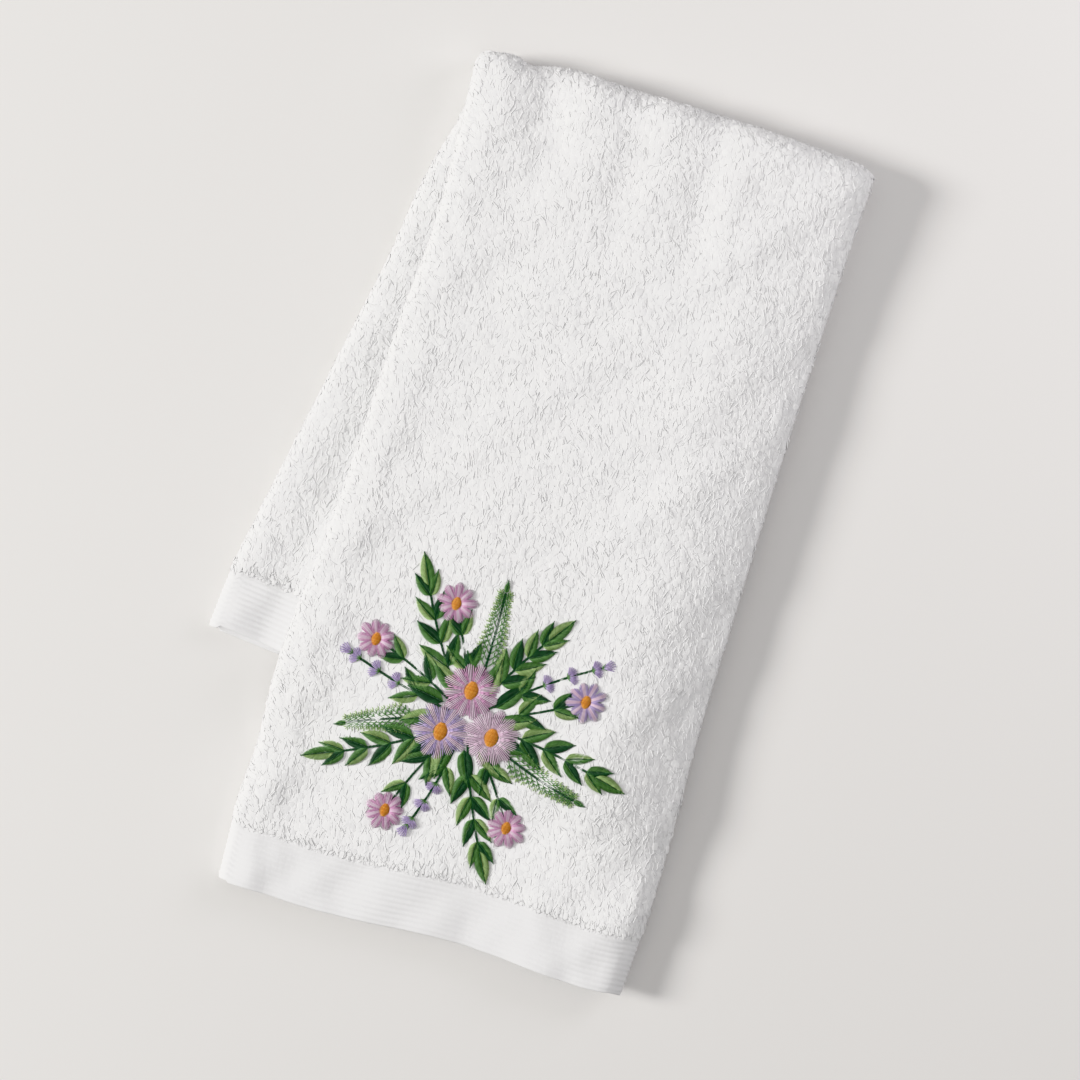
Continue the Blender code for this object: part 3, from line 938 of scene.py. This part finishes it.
    def _branch(self, heading: float, length: float, bend: float, kind: Branch) -> None:
        """A stem from the middle with what it carries."""
        base = self._step(np.array(self.centre), heading, self.stem_start)
        reach = length - self.stem_start
        self._stem(base, heading, reach, bend, 0.0)
        stops = {Branch.LEAVES: 4, Branch.DAISY: 2, Branch.BELLS: 4, Branch.FERN: 11}[kind]
        way = np.linspace(0.3, 0.92 if kind is not Branch.DAISY else 0.66, stops)
        line, _ = self._rib(base, heading, reach, bend, way)
        tip, _ = self._rib(base, heading, reach, bend, np.array([1.0]))
        for number, (at, share) in enumerate(zip(line, way)):
            for side in (1, -1):
                turn = heading + degrees_of(2 * bend * share) + side * (44 - 14 * share)
                if kind is Branch.FERN:
                    self._frond(at, turn, 9.0 - 6.2 * share)
                elif kind is Branch.BELLS and share > 0.5:
                    self._bell(at, turn, 5.0, 0.5)
                else:
                    size = (15.0 - 5.5 * share) * (1.0 if kind is Branch.LEAVES else 0.86)
                    pair = (Thread.LEAF_GREEN, Thread.DEEP_GREEN), (Thread.PALE_GREEN, Thread.LEAF_GREEN)
                    tones = pair[(number + (side > 0)) % 2][::side]
                    self._leaf(at, turn, size, -0.1 * side, tones, 0.25 + 0.05 * number)
        onward = heading + degrees_of(2 * bend)
        if kind is Branch.LEAVES:
            self._leaf(tip[0], onward, 13, 0.0, (Thread.PALE_GREEN, Thread.LEAF_GREEN), 0.5)
        elif kind is Branch.DAISY:
            self._daisy(tip[0], 8.4, 9, (Thread.PINK, Thread.LILAC)[int(heading) % 2], 0.9)
        elif kind is Branch.BELLS:
            self._bell(tip[0], onward, 6.0, 0.6)
        else:
            self._leaf(tip[0], onward, 4.5, 0.0, (Thread.LEAF_GREEN,) * 2, 0.3)

    def _fill(self) -> None:
        """Broad leaves that stand out from under the three middle daisies."""
        pairs = (Thread.LEAF_GREEN, Thread.PALE_GREEN), (Thread.DEEP_GREEN, Thread.LEAF_GREEN)
        for number, heading in enumerate(range(10, 370, 30)):
            at = self._step(np.array(self.centre), heading, 11.0)
            self._leaf(at, heading + 8, 15.0, 0.08, pairs[number % 2], 0.45)

    def covers(self, centre: Array) -> Array:
        """True at places that lie under a stitch, read from a grid of all stitches."""
        cell_size = 0.5
        rows = np.concatenate([row for group in self.stitches.values() for row in group])
        t = np.linspace(0, 1, 14)[:, None, None]
        line = (rows[:, :2] * (1 - t) + rows[:, 2:4] * t).reshape(-1, 2)
        low = line.min(axis=0) - 2
        cell = np.floor((line - low) / cell_size).astype(int)
        size = cell.max(axis=0) + 6
        under = np.zeros(size, bool)
        under[cell[:, 0], cell[:, 1]] = True
        spot = np.floor((centre[:, :2] - low) / cell_size).astype(int)
        inside = ((spot >= 0) & (spot < size)).all(axis=1)
        spot = np.clip(spot, 0, size - 1)
        return inside & under[spot[:, 0], spot[:, 1]]

    def build(self) -> list[bpy.types.Object]:
        """Lays each thread's stitches on the cloth as low arches whose ends sink into the pile."""
        made = []
        t = np.array([0.0, 0.16, 0.5, 0.84, 1.0])
        arch = np.array([-0.75, -0.05, 0.16, -0.05, -0.75])
        for thread, groups in self.stitches.items():
            rows = np.concatenate(groups)
            flat = rows[:, None, :2] * (1 - t[:, None]) + rows[:, None, 2:4] * t[:, None]
            x, y = flat[..., 0], flat[..., 1]
            long = np.linalg.norm(rows[:, 2:4] - rows[:, :2], axis=1)
            face = self.folds.layer_heights(x, y)[-1]
            rise = face + self.bed + rows[:, 4:5] * self.tier_height
            rise = rise + arch * np.clip(long / 3, 0.5, 1.3)[:, None]
            rise = rise + self._draw.normal(0, 0.03, len(rows))[:, None]
            spine = np.stack([x, y, rise], axis=2)
            up = np.tile([0.0, 0.0, 1.0], (len(rows), 1))
            radius = np.tile([0.95, 1.0, 0.95], (len(rows), 1)) * self.girth
            tone = self._draw.uniform(0, 0.8, len(rows))
            name, dark, light = thread.value
            piece = strands("posy_" + name, spine, up, radius, tone)
            finish = Finish(name, dark, light, roughness=0.42, fibre_scale=2600, sheen=0.15)
            piece.data.materials.append(finish.build())
            made.append(piece)
        return made


def degrees_of(slope: float) -> float:
    """The angle in degrees of a slope."""
    return float(np.degrees(np.arctan(slope)))


@dataclass(frozen=True)
class Lamp:
    """A round area lamp that faces the origin, with its angles in degrees and its sizes in metres."""

    name: str
    turn: float
    elevation: float
    distance: float
    size: float
    power: float
    colour: tuple[float, float, float]

    def build(self) -> None:
        """Puts the lamp up."""
        lamp = bpy.data.lights.new(self.name, "AREA")
        lamp.shape = "DISK"
        lamp.size, lamp.energy, lamp.color = self.size, self.power, self.colour
        stand = bpy.data.objects.new(self.name, lamp)
        turn, rise = radians(self.turn), radians(self.elevation)
        away = np.array([cos(turn) * cos(rise), sin(turn) * cos(rise), sin(rise)])
        stand.location = away * self.distance
        stand.rotation_euler = (pi / 2 - rise, 0, turn + pi / 2)
        bpy.context.scene.collection.objects.link(stand)


@dataclass
class Studio:
    """A pale floor, a soft window low on the left, a small pale card on the right, sky and camera."""

    view_turn: float = 17.2
    view_width: float = 410.4
    lens: float = 85.0
    sensor: float = 36.0
    focus_height: float = 12.0
    lamps: tuple[Lamp, ...] = (
        Lamp("window", 190.0, 26.0, 2.8, 0.79, 76.5, (1.0, 0.985, 0.96)),
        Lamp("card", 42.0, 28.0, 0.75, 0.35, 1.15, (1.0, 0.96, 1.0)),
    )
    sky_rim: float = 0.12
    sky_top: float = 0.76
    floor_half: float = 3000.0

    def build(self) -> None:
        """Makes the floor, the lights and the camera."""
        self._floor()
        for lamp in self.lamps:
            lamp.build()
        self._sky()
        self._camera()

    def _floor(self) -> None:
        """A wide square of matt paper under the towel."""
        half = self.floor_half
        points = np.array([(-half, -half, 0), (half, -half, 0), (half, half, 0), (-half, half, 0)], float)
        maps = {"OFBake": np.array([(0, 0), (1, 0), (1, 1), (0, 1)], float)}
        floor = mesh_piece("studio_floor", points, np.array([[0, 1, 2, 3]]), maps)
        material = bpy.data.materials.new("pale_paper")
        material.use_nodes = True
        paper = {"Base Color": (0.795, 0.785, 0.775, 1), "Roughness": 0.9}
        feed(material.node_tree, material.node_tree.nodes["Principled BSDF"], paper)
        floor.data.materials.append(material)

    def _sky(self) -> None:
        """Light from all round, which grows as the square of the height from the rim to the top."""
        world = bpy.data.worlds.new("studio_sky")
        world.use_nodes = True
        tree = world.node_tree
        way = node(tree, "TexCoord", {})["Generated"]
        up = node(tree, "SeparateXYZ", {0: way})["Z"]
        square = node(tree, "Math", {0: up, 1: up}, operation="MULTIPLY")[0]
        terms = {0: square, 1: self.sky_top, 2: self.sky_rim}
        total = node(tree, "Math", terms, operation="MULTIPLY_ADD")[0]
        feed(tree, tree.nodes["Background"], {"Color": (1.0, 0.99, 0.975, 1), "Strength": total})
        bpy.context.scene.world = world
        bpy.context.scene.view_settings.view_transform = "Khronos PBR Neutral"

    def _camera(self) -> None:
        """Straight above, turned so that the towel lies slanted in the picture."""
        data = bpy.data.cameras.new("camera")
        data.lens, data.sensor_width = self.lens, self.sensor
        data.clip_end = 20
        camera = bpy.data.objects.new("camera", data)
        height = self.view_width * self.lens / self.sensor + self.focus_height
        camera.location = (FRAME_X * MM, FRAME_Y * MM, height * MM)
        camera.rotation_euler = (0, 0, radians(self.view_turn))
        bpy.context.scene.collection.objects.link(camera)
        bpy.context.scene.camera = camera


def patches(cloth: ClothMap) -> tuple[list[Patch], list[Patch]]:
    """The stretches of cloth whose pile can be seen: its tufts, and the fine yarns on those on top."""
    s = cloth.spots
    past_band, side = 0.9, 42
    start, end = cloth.band + past_band, s["length"] - cloth.band - past_band
    third, two_thirds = s["right"] + side, s["left"] - side
    seen = (
        ("right", (s["right"] - 16, third), (start, s["back"])),
        ("middle", (third, two_thirds), (start, s["back"])),
        ("left", (two_thirds, s["wrap"] + 1), (start, s["back"])),
        ("back_flap", (s["left"] + 1, s["wrap"] + 44), (s["back"], end)),
    )
    under = (
        ("under", (s["right"] - 2, s["left"] + 1), (s["back"], end)),
        ("under_front", (s["wrap"] + 1, s["width"] - 1), (start, 100)),
    )

    def lay(kind: str, places: tuple, seed: int, *sizes: float) -> list[Patch]:
        """One patch for each place, with seeds that count up."""
        return [Patch(kind + name, u, v, seed + n, *sizes) for n, (name, u, v) in enumerate(places)]

    tufts = lay("loops_", seen, 11) + lay("loops_", under, 15, 2.6, 3.4)
    return tufts, lay("yarns_", seen, 21, 1.25, 1.7, 0.25)


def main() -> None:
    """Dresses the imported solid."""
    logging.basicConfig(level=logging.INFO)
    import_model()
    cloth = ClothMap(Folds())
    ground_cotton = Finish(
        "terry_ground", (0.82, 0.82, 0.83), (0.865, 0.865, 0.87),
        fibre_scale=900, fibre_depth=0.00015, woven=True,
    )
    loop_cotton = Finish("terry_loops", (0.78, 0.78, 0.79), (0.915, 0.915, 0.92), sheen=0.15)
    posy = Posy(cloth.folds)
    ground = BaseCloth(cloth, ground_cotton).build()
    tufts = LoopPile(cloth, loop_cotton, posy)
    yarns = LoopPile(
        cloth, loop_cotton, posy,
        length=4.4, girth=0.23, squash=0.42, soft=0.9, sides=3, sink=0.14, sway=0.5, bow=0.1,
    )
    soft_places, fine_places = patches(cloth)
    added = [tufts.build(patch) for patch in soft_places] + [yarns.build(patch) for patch in fine_places]
    added += posy.build()
    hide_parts(NODE)
    for piece in [ground, *added]:
        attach(piece, "root")
        LOG.info("%s: %d faces", piece.name, len(piece.data.polygons))
    Studio().build()


if __name__ == "__main__":
    main()
